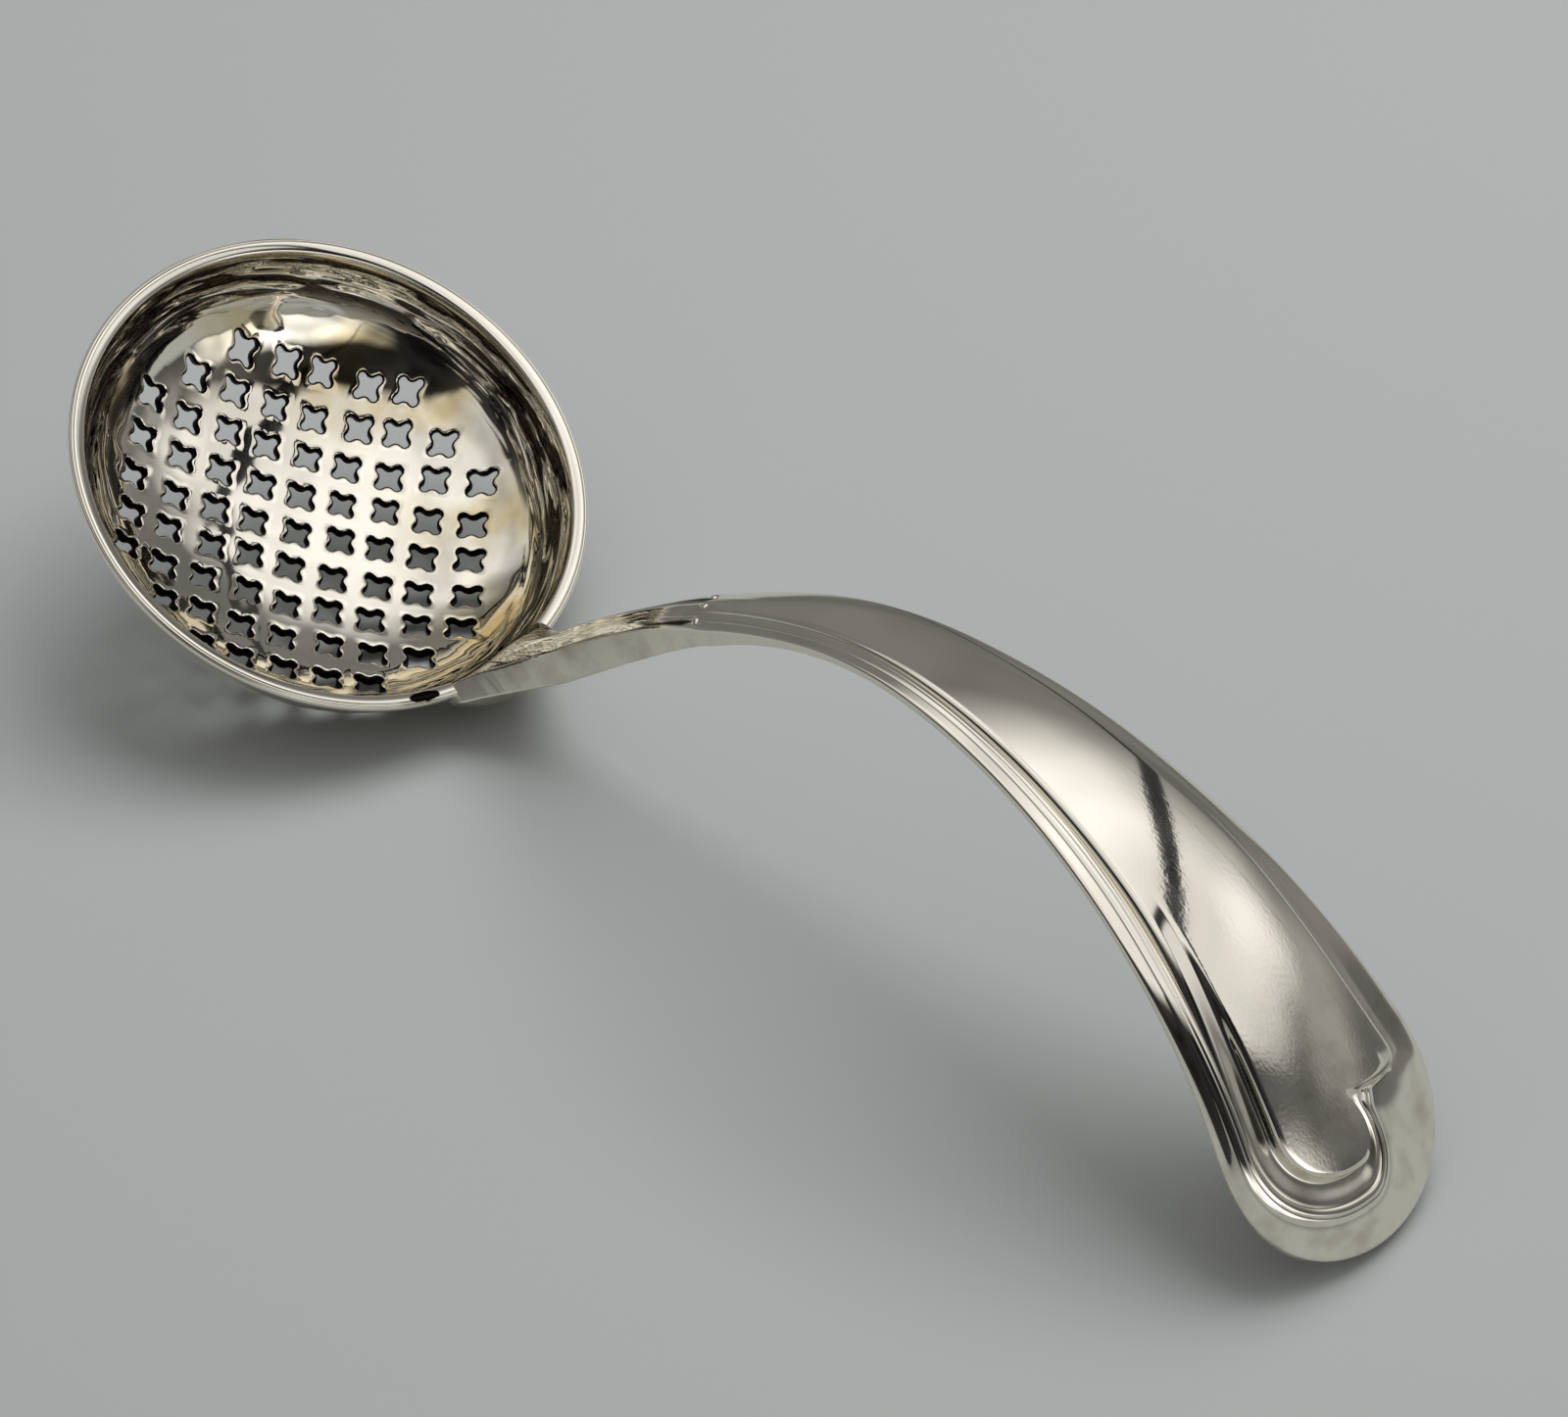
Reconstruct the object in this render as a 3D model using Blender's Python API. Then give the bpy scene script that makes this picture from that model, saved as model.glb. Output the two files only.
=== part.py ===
"""Sugar sifter spoon: a pierced round bowl, a reeded wire round its lip and an arched handle.

Metres, +Z up. The spoon lies as it rests on a table, on its bowl and on the turned-down tip of
its handle, which runs along +X. The origin is on the table, under the middle of the spoon.
"""
import functools
import math

import bmesh
import bpy
from mathutils import Matrix, Vector

MM = 0.001
CLEARANCE = 0.3 * MM

# Bowl, measured from the top of the rim
RIM_DIAMETER = 51.5 * MM
BOWL_DEPTH = 12.7 * MM
BOWL_WALL = 0.9 * MM
BOWL_TILT = math.radians(29.0)
MOUTH_FLARE = math.radians(15.0)
PAN_REACH = 18.0 * MM
SIDE_REACH = 9.0 * MM
WEAR_FLAT = 0.08 * MM
BOWL_STEPS = 56
PROFILE_STEPS = 9
PROFILE_SAMPLES = 200

# Pierced field: quatrefoils on a square grid, trimmed to a circle
HOLE_PITCH = 4.2 * MM
HOLE_SPAN = 2.5 * MM
HOLE_WAIST = 1.8 * MM
LOBE_RADIUS = 0.42 * MM
FIELD_MARGIN = 5.3 * MM
FIELD_TURN = math.radians(41.0)
LOBE_STEPS = 3

# Rim wire: two reeds, open where the handle rises from the lip
WIRE_WIDTH = 1.5 * MM
WIRE_HEIGHT = 1.0 * MM
REED_WIDTH = 0.55 * MM
REED_GROOVE = 0.12 * MM
WIRE_OPENING = math.radians(15.0)
WIRE_STEPS = 64

# Line of the handle's crest in the XZ plane, from the middle of the rim
ARCH_REACH = 74.5 * MM
ARCH_HEIGHT = 36.3 * MM
TIP_REACH = 127.2 * MM
TIP_HEIGHT = 1.95 * MM
TIP_FALL = math.radians(63.0)
ROOT_PULL = 26.0 * MM
RISE_PULL = 17.0 * MM
DESCENT_PULL = 23.0 * MM
TIP_PULL = 21.5 * MM
CREST_STEPS = 60

# Outline of the handle: half widths, and distances along the crest from the bowl's lip
LAP_LENGTH = 4.0 * MM
LAP_ROUND = 0.8
SHOULDER_RUN = 10.0 * MM
NECK_HALF = 1.8 * MM
NECK_AT = 18.0 * MM
END_HALF = 12.3 * MM
END_ROUND = 15.5 * MM
TAPER_POWER = 1.6
LAP_STEPS = 4
SHOULDER_STEPS = 8
STEM_STEPS = 26
END_STEPS = 20

# Section of the handle: crown, plain edge band, two reeds and the depth of its sides
CROWN_RADIUS = 37.0 * MM
BAND_WIDTH = 1.25 * MM
BAND_DROP_SHARE = 0.25
TIP_BAND = 4.2 * MM
OUTER_REED = 0.8 * MM
INNER_REED = 0.7 * MM
THREAD_GROOVE = 0.12 * MM
BORDER_DROP = 1.2 * MM
BORDER_NECK_SHARE = 0.4
NECK_DEPTH = 3.3 * MM
EDGE_DEPTH = 0.8 * MM
NECK_RUN = 27.0 * MM
BODY_DEPTH = 2.4 * MM
LAP_DEPTH = 0.8 * MM
SHOULDER_THINNING = 0.65

SILVER = (0.80, 0.77, 0.71, 1.0)
RIM_RADIUS = RIM_DIAMETER / 2
MOUTH_RADIUS = RIM_RADIUS - WIRE_WIDTH
LIP_Z = -(WIRE_HEIGHT + CLEARANCE)
SHOULDER_HALF = RIM_RADIUS * WIRE_OPENING - CLEARANCE


def clear_scene():
    """Remove what the file holds."""
    for item in list(bpy.data.objects):
        bpy.data.objects.remove(item, do_unlink=True)


def silver(name, roughness):
    """Polished silver with its own roughness for each piece."""
    material = bpy.data.materials.new(name)
    material.use_nodes = True
    shader = material.node_tree.nodes["Principled BSDF"]
    shader.inputs["Base Color"].default_value = SILVER
    shader.inputs["Metallic"].default_value = 1.0
    shader.inputs["Roughness"].default_value = roughness
    material.diffuse_color = SILVER
    return material


def add_object(name, mesh, parent, material=None):
    """Link a mesh as a named object under its parent."""
    item = bpy.data.objects.new(name, mesh)
    bpy.context.collection.objects.link(item)
    item.parent = parent
    if material:
        mesh.materials.append(material)
        mesh.shade_smooth()
        mesh.set_sharp_from_angle(angle=math.radians(35.0))
    return item


def add_empty(name, parent=None):
    """A frame that places the pieces under it."""
    frame = bpy.data.objects.new(name, None)
    bpy.context.collection.objects.link(frame)
    frame.parent = parent
    return frame


def mesh_from(name, bm):
    """Turn a bmesh into a mesh with its faces pointing out."""
    bmesh.ops.recalc_face_normals(bm, faces=bm.faces[:])
    mesh = bpy.data.meshes.new(name)
    bm.to_mesh(mesh)
    bm.free()
    return mesh


def hide_cutter(cutter):
    """A cutter shapes its piece and isn't one itself."""
    cutter.hide_render = True
    cutter.display_type = "WIRE"


def cut(item, cutter):
    """Take a cutter's volume away from a piece."""
    modifier = item.modifiers.new(cutter.name, "BOOLEAN")
    modifier.operation = "DIFFERENCE"
    modifier.solver = "EXACT"
    modifier.object = cutter


def bezier(points, u):
    """Point on the cubic curve with these four control points."""
    v = 1.0 - u
    weights = (v ** 3, 3 * u * v * v, 3 * u * u * v, u ** 3)
    return sum((p * w for p, w in zip(points, weights)), Vector((0.0, 0.0)))


def smooth(u):
    """Ease from 0 to 1 as u does."""
    u = min(max(u, 0.0), 1.0)
    return u * u * (3.0 - 2.0 * u)


def bowl_curve():
    """Inside of the bowl as a curve of (radius, height), from its middle to its lip."""
    lip = Vector((MOUTH_RADIUS, LIP_Z))
    side = Vector((math.sin(MOUTH_FLARE), math.cos(MOUTH_FLARE)))
    middle = Vector((0.0, -BOWL_DEPTH))
    return (middle, middle + Vector((PAN_REACH, 0.0)), lip - side * SIDE_REACH, lip)


def bowl_wall(u, offset):
    """Point at this offset outside the bowl's inner curve."""
    curve = bowl_curve()
    step = 1.0 / PROFILE_SAMPLES
    run = bezier(curve, min(u + step, 1.0)) - bezier(curve, max(u - step, 0.0))
    outward = Vector((run.y, -run.x)).normalized()
    return bezier(curve, u) + outward * offset


def bowl_profile(offset):
    """The bowl's section at this offset outside its inner curve, from its middle to its lip."""
    return [bowl_wall(i / PROFILE_STEPS, offset) for i in range(PROFILE_STEPS + 1)]


@functools.cache
def rim_height():
    """Height of the rim's middle when the worn flat under the bowl lies on the table."""
    sine, cosine = math.sin(BOWL_TILT), math.cos(BOWL_TILT)
    return max(p.x * sine - p.y * cosine for p in bowl_profile(BOWL_WALL)) - WEAR_FLAT


def from_bowl(point):
    """A (radius, height) of the bowl's section at the handle, in the spoon's XZ plane."""
    sine, cosine = math.sin(BOWL_TILT), math.cos(BOWL_TILT)
    return Vector((point.x * cosine + point.y * sine, rim_height() - point.x * sine + point.y * cosine))


def to_bowl(point):
    """The other way round from from_bowl."""
    sine, cosine = math.sin(BOWL_TILT), math.cos(BOWL_TILT)
    z = point.y - rim_height()
    return Vector((point.x * cosine - z * sine, point.x * sine + z * cosine))


def quatrefoil():
    """Outline of one hole: four round lobes on the diagonals with hollow arcs between them."""
    centre = HOLE_SPAN / 2 - LOBE_RADIUS
    inset = HOLE_WAIST / 2 - centre
    hollow = (centre ** 2 + inset ** 2 - LOBE_RADIUS ** 2) / (2 * (LOBE_RADIUS - inset))
    waist_y = HOLE_WAIST / 2 + hollow
    lean = math.atan2(waist_y - centre, -centre)
    outline = []
    for quarter in range(4):
        turn = Matrix.Rotation(quarter * math.pi / 2, 2)
        start = math.pi / 2 - lean
        for i in range(LOBE_STEPS + 1):
            angle = start + (lean - start) * i / LOBE_STEPS
            outline.append(turn @ Vector((centre + LOBE_RADIUS * math.cos(angle),
                                          centre + LOBE_RADIUS * math.sin(angle))))
        outline.append(turn @ Vector((0.0, HOLE_WAIST / 2)))
    return outline


def hole_centres():
    """Grid points inside the pierced field, in the bowl's own plane."""
    field = MOUTH_RADIUS - FIELD_MARGIN
    count = int(field / HOLE_PITCH)
    turn = Matrix.Rotation(FIELD_TURN, 2)
    for i in range(-count, count + 1):
        for j in range(-count, count + 1):
            point = Vector((i, j)) * HOLE_PITCH
            if point.length <= field:
                yield turn @ point


def hole_punch(parent):
    """Every hole's prism, along the bowl's axis, as one cutter."""
    bm = bmesh.new()
    turn = Matrix.Rotation(FIELD_TURN, 2)
    outline = [turn @ p for p in quatrefoil()]
    bottom = -BOWL_DEPTH - 3 * BOWL_WALL
    for centre in hole_centres():
        rings = []
        for z in (bottom, LIP_Z):
            rings.append([bm.verts.new((centre.x + p.x, centre.y + p.y, z)) for p in outline])
        bm.faces.new(rings[0])
        bm.faces.new(rings[1])
        for i in range(len(outline)):
            j = i - 1
            bm.faces.new((rings[0][j], rings[0][i], rings[1][i], rings[1][j]))
    punch = add_object("hole_punch", mesh_from("hole_punch", bm), parent)
    hide_cutter(punch)
    return punch


def table_cutter(parent):
    """Block under the table's plane that leaves the worn flat on the bowl."""
    bm = bmesh.new()
    bmesh.ops.create_cube(bm, size=2 * RIM_DIAMETER)
    bmesh.ops.translate(bm, verts=bm.verts[:], vec=(0.0, 0.0, -RIM_DIAMETER))
    block = add_object("table_cutter", mesh_from("table_cutter", bm), parent)
    hide_cutter(block)
    return block


def pierced_bowl(parent, spoon):
    """Raised bowl: a turned shell, punched through and worn flat where it rests."""
    inside = bowl_profile(0.0)
    outside = bowl_profile(BOWL_WALL)
    outside[-1].y = LIP_Z
    bm = bmesh.new()
    verts = [bm.verts.new((p.x, 0.0, p.y)) for p in inside + outside[::-1]]
    for a, b in zip(verts, verts[1:]):
        bm.edges.new((a, b))
    mesh = bpy.data.meshes.new("pierced_bowl")
    bm.to_mesh(mesh)
    bm.free()
    bowl = add_object("pierced_bowl", mesh, parent, silver("bowl_silver", 0.12))
    turn = bowl.modifiers.new("turn", "SCREW")
    turn.steps = BOWL_STEPS
    turn.render_steps = BOWL_STEPS
    turn.use_merge_vertices = True
    turn.merge_threshold = 0.00001
    turn.use_normal_calculate = True
    cut(bowl, hole_punch(parent))
    cut(bowl, table_cutter(spoon))
    return bowl


def wire_section():
    """Section of the rim wire: flat underneath, an inner band and an outer reed on top."""
    inner, outer = MOUTH_RADIUS, RIM_RADIUS
    groove = outer - REED_WIDTH
    round_off = WIRE_HEIGHT / 4
    return (
        (inner, -WIRE_HEIGHT), (inner, -round_off), (inner + round_off, 0.0),
        (groove - REED_GROOVE, 0.0), (groove, -REED_GROOVE), (groove + REED_GROOVE, 0.0),
        (outer - round_off, -REED_GROOVE / 2), (outer, -WIRE_HEIGHT / 2), (outer - round_off, -WIRE_HEIGHT),
    )


def rim_wire(parent):
    """Drawn wire bent round the lip, with square ends beside the handle."""
    bm = bmesh.new()
    face = bm.faces.new([bm.verts.new((r, 0.0, z)) for r, z in wire_section()])
    bmesh.ops.rotate(bm, verts=bm.verts[:], matrix=Matrix.Rotation(WIRE_OPENING, 3, "Z"))
    bmesh.ops.spin(bm, geom=[face] + face.edges[:] + face.verts[:], axis=(0.0, 0.0, 1.0),
                   angle=2 * (math.pi - WIRE_OPENING), steps=WIRE_STEPS)
    return add_object("rim_wire", mesh_from("rim_wire", bm), parent, silver("wire_silver", 0.10))


class Crest:
    """The line along the top of the handle, from the end of its lap to its tip."""

    def __init__(self):
        lip = from_bowl(bowl_wall(1.0, BOWL_WALL + CLEARANCE))
        rise = math.pi / 2 - BOWL_TILT - MOUTH_FLARE
        top = Vector((ARCH_REACH, ARCH_HEIGHT))
        tip = Vector((TIP_REACH, TIP_HEIGHT))
        level = Vector((1.0, 0.0))
        up = Vector((math.cos(rise), math.sin(rise)))
        down = Vector((math.cos(TIP_FALL), -math.sin(TIP_FALL)))
        spans = ((lip, lip + up * ROOT_PULL, top - level * RISE_PULL, top),
                 (top, top + level * DESCENT_PULL, tip - down * TIP_PULL, tip))
        self.points = self.lap_points()
        lap = len(self.points) - 1
        for span in spans:
            self.points += [bezier(span, i / CREST_STEPS) for i in range(1, CREST_STEPS + 1)]
        self.along = [0.0]
        for a, b in zip(self.points, self.points[1:]):
            self.along.append(self.along[-1] + (b - a).length)
        self.lip_at = self.along[lap]
        self.length = self.along[-1] - self.lip_at

    @staticmethod
    def lap_points():
        """Up the outside of the bowl's wall, a clearance away from it."""
        u = 1.0
        points = [from_bowl(bowl_wall(u, BOWL_WALL + CLEARANCE))]
        run = 0.0
        while run < LAP_LENGTH:
            u -= 1.0 / PROFILE_SAMPLES
            points.append(from_bowl(bowl_wall(u, BOWL_WALL + CLEARANCE)))
            run += (points[-1] - points[-2]).length
        return points[::-1]

    def at(self, s):
        """Point, and direction square to the handle, at this distance from the lip."""
        s = min(max(s + self.lip_at, 0.0), self.along[-1])
        i = 1
        while self.along[i] < s and i < len(self.along) - 1:
            i += 1
        share = (s - self.along[i - 1]) / (self.along[i] - self.along[i - 1])
        run = (self.points[min(i + 1, len(self.points) - 1)] - self.points[max(i - 2, 0)]).normalized()
        return self.points[i - 1].lerp(self.points[i], share), Vector((-run.y, run.x))


class Blank:
    """The struck handle laid flat: s along it, t across it, heights down from its crest."""

    def __init__(self, crest):
        self.crest = crest
        self.end_at = crest.length - END_ROUND

    def half(self, s):
        """Half width of the outline, without the rounding of the end."""
        if s < SHOULDER_RUN:
            away = 1.0 - max(s, 0.0) / SHOULDER_RUN
            flare = 1.0 - math.sqrt(1.0 - away ** 2)
            return NECK_HALF + (SHOULDER_HALF - NECK_HALF) * flare
        share = max(s - NECK_AT, 0.0) / (self.end_at - NECK_AT)
        return NECK_HALF + (END_HALF - NECK_HALF) * share ** TAPER_POWER

    @staticmethod
    def hug(s):
        """How far the handle follows the bowl's round wall: wholly on the lap, not past the shoulders."""
        return 1.0 - smooth(s / SHOULDER_RUN)

    def border_share(self, s):
        """How full the border is: it shrinks towards the neck and again on the lap."""
        full = BORDER_NECK_SHARE + (1.0 - BORDER_NECK_SHARE) * min(self.half(s) / END_HALF, 1.0)
        return full * (1.0 - self.hug(s) / 2)

    @staticmethod
    def rings():
        """Lines that follow the outline, as (inset at the sides, inset at the tip, drop, groove)."""
        grooves = (0.0, OUTER_REED, OUTER_REED + INNER_REED)
        crests = (OUTER_REED / 2, OUTER_REED + INNER_REED / 2, OUTER_REED + INNER_REED * 1.5)
        rings = [(0.0, 0.0, 1.0, 0.0)]
        for groove, crest in zip(grooves, crests):
            for inset, depth in ((groove, 1.0), (crest, 0.0)):
                drop = (1.0 - BAND_DROP_SHARE) * (1.0 - inset / crests[-1])
                rings.append((BAND_WIDTH + inset, TIP_BAND + inset, drop, depth))
        return rings

    def upper(self, s, t, half, drop, groove):
        """Height of the struck face: its crown, less the border's drop and its grooves."""
        crown = t ** 2 / (2 * CROWN_RADIUS)
        border = BORDER_DROP * drop * min(half / END_HALF, 1.0) ** 2
        return -(crown + border + THREAD_GROOVE * groove * self.border_share(s)) * (1.0 - self.hug(s))

    def side_depth(self, s):
        """Depth of the side wall: deepest at the neck, thin round the end and on the lap."""
        neck = EDGE_DEPTH + (NECK_DEPTH - EDGE_DEPTH) * math.exp(-((s - NECK_AT) / NECK_RUN) ** 2)
        return neck + (LAP_DEPTH - neck) * min(max(-s / LAP_LENGTH, 0.0), 1.0)

    def bend(self, s, t, height):
        """Lay a point of the flat blank on the arch, and wrap the root round the bowl."""
        point, square = self.crest.at(s)
        point = point + square * height
        beyond = max(s - self.crest.length, 0.0)
        point = point + Vector((square.y, -square.x)) * beyond
        flat = Vector((point.x, t, point.y))
        hug = self.hug(s)
        if hug == 0.0:
            return flat
        section = to_bowl(point)
        angle = t / RIM_RADIUS
        wrapped = from_bowl(Vector((section.x * math.cos(angle), section.y)))
        return flat.lerp(Vector((wrapped.x, section.x * math.sin(angle), wrapped.y)), hug)


def side_columns(blank):
    """Columns up one side of the handle, from the lap to where the end begins to round."""
    columns = []
    for start, stop, count in ((-LAP_LENGTH, 0.0, LAP_STEPS), (0.0, SHOULDER_RUN, SHOULDER_STEPS),
                               (SHOULDER_RUN, blank.end_at, STEM_STEPS)):
        for i in range(count):
            s = start + (stop - start) * i / count
            half = blank.half(s)
            points = []
            for inset, _, _, _ in blank.rings():
                t = half - inset * blank.border_share(s)
                points.append((s * (1.0 - LAP_ROUND * (t / half) ** 2) if s < 0.0 else s, t))
            columns.append((points, s))
    return columns


def end_columns(blank):
    """Columns fanned round the end of the handle."""
    columns = []
    for i in range(END_STEPS + 1):
        angle = math.pi * i / END_STEPS
        points = []
        for inset, tip_inset, _, _ in blank.rings():
            s = blank.end_at + (END_ROUND - tip_inset) * math.sin(angle)
            points.append((s, (blank.half(s) - inset) * math.cos(angle)))
        columns.append((points, blank.end_at))
    return columns


def handle_heights(blank, points, middle):
    """Upper and lower height at each ring of a column, and the lower one at the handle's middle."""
    half = blank.half(middle)
    depth = blank.side_depth(middle)
    floor = blank.upper(middle, half, half, 1.0, 0.0) - depth
    hollow = max(-floor - max(BODY_DEPTH, depth), 0.0)
    thinning = depth * SHOULDER_THINNING * blank.hug(middle)
    upper, lower = [], []
    for (s, t), (_, _, drop, groove) in zip(points, blank.rings()):
        upper.append(blank.upper(middle, t, half, drop, groove))
        reach = min(max(abs(t) / half, (s - middle) / END_ROUND), 1.0)
        lower.append(floor + hollow * (1.0 - reach ** 2) + thinning * (t / half) ** 2)
    return upper, lower, floor + hollow


def handle(parent):
    """Forged stem and struck terminal in one, its root lapped on the outside of the bowl."""
    blank = Blank(Crest())
    bm = bmesh.new()
    side = side_columns(blank)
    other_side = [([(s, -t) for s, t in points], middle) for points, middle in reversed(side)]
    middles = {}
    lines = []
    for points, middle in side + end_columns(blank) + other_side:
        upper, lower, floor = handle_heights(blank, points, middle)
        line = [bm.verts.new(blank.bend(s, t, h)) for (s, t), h in zip(points, upper)]
        under = [bm.verts.new(blank.bend(s, t, h)) for (s, t), h in zip(points, lower)]
        if middle not in middles:
            middles[middle] = (bm.verts.new(blank.bend(middle, 0.0, 0.0)),
                               bm.verts.new(blank.bend(middle, 0.0, floor)))
        lines.append((line + [middles[middle][0]], under + [middles[middle][1]]))
    for (top_a, low_a), (top_b, low_b) in zip(lines, lines[1:]):
        for a, b in ((top_a, top_b), (low_a, low_b)):
            for k in range(len(a) - 1):
                loop = [a[k], b[k], b[k + 1]]
                if a[k + 1] is not b[k + 1]:
                    loop.append(a[k + 1])
                bm.faces.new(loop)
        bm.faces.new((top_a[0], low_a[0], low_b[0], top_b[0]))
    for top, low in (lines[0], lines[-1]):
        for k in range(len(top) - 1):
            bm.faces.new((top[k], top[k + 1], low[k + 1], low[k]))
    return add_object("handle", mesh_from("handle", bm), parent, silver("handle_silver", 0.16))


def build():
    """Place the three pieces under one frame at the middle of the spoon."""
    clear_scene()
    spoon = add_empty("spoon")
    bowl_frame = add_empty("bowl_frame", spoon)
    bowl_frame.location.z = rim_height()
    bowl_frame.rotation_euler.y = BOWL_TILT
    pierced_bowl(bowl_frame, spoon)
    rim_wire(bowl_frame)
    stem = handle(spoon)
    sine, cosine = math.sin(BOWL_TILT), math.cos(BOWL_TILT)
    far_edge = max(p.x * cosine - p.y * sine for p in bowl_profile(BOWL_WALL))
    tip = max(vertex.co.x for vertex in stem.data.vertices)
    spoon.location.x = (far_edge - tip) / 2


build()
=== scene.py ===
"""Sugar sifter spoon in polished sterling silver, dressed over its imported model."""
import math
import random

import bmesh
import bpy
import numpy as np
from mathutils import Matrix, Vector, noise


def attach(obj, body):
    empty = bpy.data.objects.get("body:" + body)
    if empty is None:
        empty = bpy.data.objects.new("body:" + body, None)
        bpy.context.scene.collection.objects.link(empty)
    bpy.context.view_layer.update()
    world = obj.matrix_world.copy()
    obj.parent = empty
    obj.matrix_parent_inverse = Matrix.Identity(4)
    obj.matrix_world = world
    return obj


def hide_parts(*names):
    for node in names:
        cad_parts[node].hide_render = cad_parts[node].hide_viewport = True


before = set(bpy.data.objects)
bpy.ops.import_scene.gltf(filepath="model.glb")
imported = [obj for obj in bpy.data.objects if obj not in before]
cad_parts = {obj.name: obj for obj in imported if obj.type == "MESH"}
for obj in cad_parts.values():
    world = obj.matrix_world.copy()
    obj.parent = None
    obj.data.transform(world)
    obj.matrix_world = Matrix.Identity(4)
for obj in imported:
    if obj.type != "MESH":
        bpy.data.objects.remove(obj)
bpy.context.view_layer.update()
bpy.ops.object.select_all(action="DESELECT")
MM = 0.001

# Pierced bowl. A disc of sterling sheet, pierced with rows of quatrefoils on a square grid, then
# raised over a stake and polished. Each hole is filed by hand, so none is quite in line, and its
# edge is rolled over towards the hole.
RIM_RADIUS = 25.75 * MM
RIM_X, RIM_Z = -51.344 * MM, 18.504 * MM
MOUTH_RADIUS = 24.25 * MM
LIP_Z = -1.3 * MM
BOWL_DEPTH = 12.7 * MM
SHEET = 0.9 * MM
PAN_REACH = 12.0 * MM
SIDE_REACH = 10.0 * MM
MOUTH_FLARE = math.radians(15.0)
BOWL_TILT = math.radians(29.0)
BOWL_PLACE = Matrix.Translation((RIM_X, 0.0, RIM_Z)) @ Matrix.Rotation(BOWL_TILT, 4, "Y")
HOLE_PITCH = 4.2 * MM
HOLE_SPAN = 2.45 * MM
HOLE_WAIST = 1.75 * MM
LOBE_RADIUS = 0.4 * MM
FIELD_TURN = math.radians(41.0)
FIELD_RADIUS = 19.0 * MM
HOLE_DRIFT = 0.28 * MM
HOLE_TURN_DEGREES = 5.0
HOLE_SCALE = (0.95, 1.04)
SIDE_STEPS = 10
WAIST_SHARE = 0.4
# Rings of the rolled edge, in mm: how far from the hole, and how deep
ROLL = ((0.0, 0.26), (0.1, 0.14), (0.19, 0.06), (0.27, 0.02), (0.35, 0.0))
SAWN_DEPTH = 0.05 * MM
SAWN_SLOPE = 0.3
FIELD_SEED = 7
# Points nearer than this count as one
TOUCH = 0.01 * MM


def linear(colour):
    """Linear RGBA of an sRGB hex colour."""
    shares = [int(colour[i:i + 2], 16) / 255 for i in (1, 3, 5)]
    return tuple(c / 12.92 if c <= 0.04045 else ((c + 0.055) / 1.055) ** 2.4 for c in shares) + (1.0,)


def add_node(tree, kind, settings, links, output=0):
    """Add a shader node with its settings, link its inputs to these outputs, and give one of its own.

    Inputs go by number where names are shared: 1 and 2 of a MapRange are the range it reads, 3 and 4 the
    range it gives, and 6 and 7 of a Mix are its two colours, which come out mixed at 2.
    """
    item = tree.nodes.new("ShaderNode" + kind)
    for name, value in settings.items():
        if isinstance(name, int) or name in item.inputs:
            item.inputs[name].default_value = value
        else:
            setattr(item, name, value)
    for name, source in links.items():
        tree.links.new(source, item.inputs[name])
    return item.outputs[output]


def bezier(points, u):
    """Points, and directions, on the cubic curve with these four control points."""
    a, b, c, d = (np.array(p)[:, None] for p in points)
    v = 1.0 - u
    place = a * v ** 3 + 3 * b * u * v * v + 3 * c * u * u * v + d * u ** 3
    run = 3 * (b - a) * v * v + 6 * (c - b) * u * v + 3 * (d - c) * u * u
    return place, run / np.linalg.norm(run, axis=0)


def quatrefoil(along, offset):
    """Point this far outside a hole's edge, along the side between two of its lobes."""
    lobe = HOLE_SPAN / 2 - LOBE_RADIUS
    inset = HOLE_WAIST / 2 - lobe
    hollow = (lobe ** 2 + inset ** 2 - LOBE_RADIUS ** 2) / (2 * (LOBE_RADIUS - inset))
    lean = math.atan2(lobe, HOLE_WAIST / 2 + hollow - lobe)
    half = abs(2 * along - 1.0)
    if half < WAIST_SHARE:
        angle = lean * half / WAIST_SHARE
        x = HOLE_WAIST / 2 + hollow - (hollow - offset) * math.cos(angle)
        y = (hollow - offset) * math.sin(angle)
    else:
        angle = -lean + (math.pi / 4 + lean) * (half - WAIST_SHARE) / (1.0 - WAIST_SHARE)
        x = lobe + (LOBE_RADIUS + offset) * math.cos(angle)
        y = lobe + (LOBE_RADIUS + offset) * math.sin(angle)
    return Vector((x, math.copysign(y, along - 0.5), 0.0))


# One pierced square of the sheet: a grid wrapped round its hole, with the rolled edge as its rings
steps_round = 4 * SIDE_STEPS
last_ring = len(ROLL) + 1
bpy.ops.mesh.primitive_grid_add(x_subdivisions=steps_round, y_subdivisions=last_ring, size=2.0)
square = bpy.context.object
dish = square.data.attributes.new("dish", "FLOAT", "POINT")
ring_of = []
for vertex, depth in zip(square.data.vertices, dish.data):
    step = round((vertex.co.x + 1.0) / 2 * steps_round)
    ring = round((vertex.co.y + 1.0) / 2 * last_ring)
    along = step % SIDE_STEPS / SIDE_STEPS
    if ring < len(ROLL):
        offset, depth.value = (size * MM for size in ROLL[ring])
        point = quatrefoil(along, offset)
    else:
        point = Vector((HOLE_PITCH / 2, HOLE_PITCH * (along - 0.5), 0.0))
    vertex.co = Matrix.Rotation(step // SIDE_STEPS * math.pi / 2, 3, "Z") @ point
    ring_of.append(ring)

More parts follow.
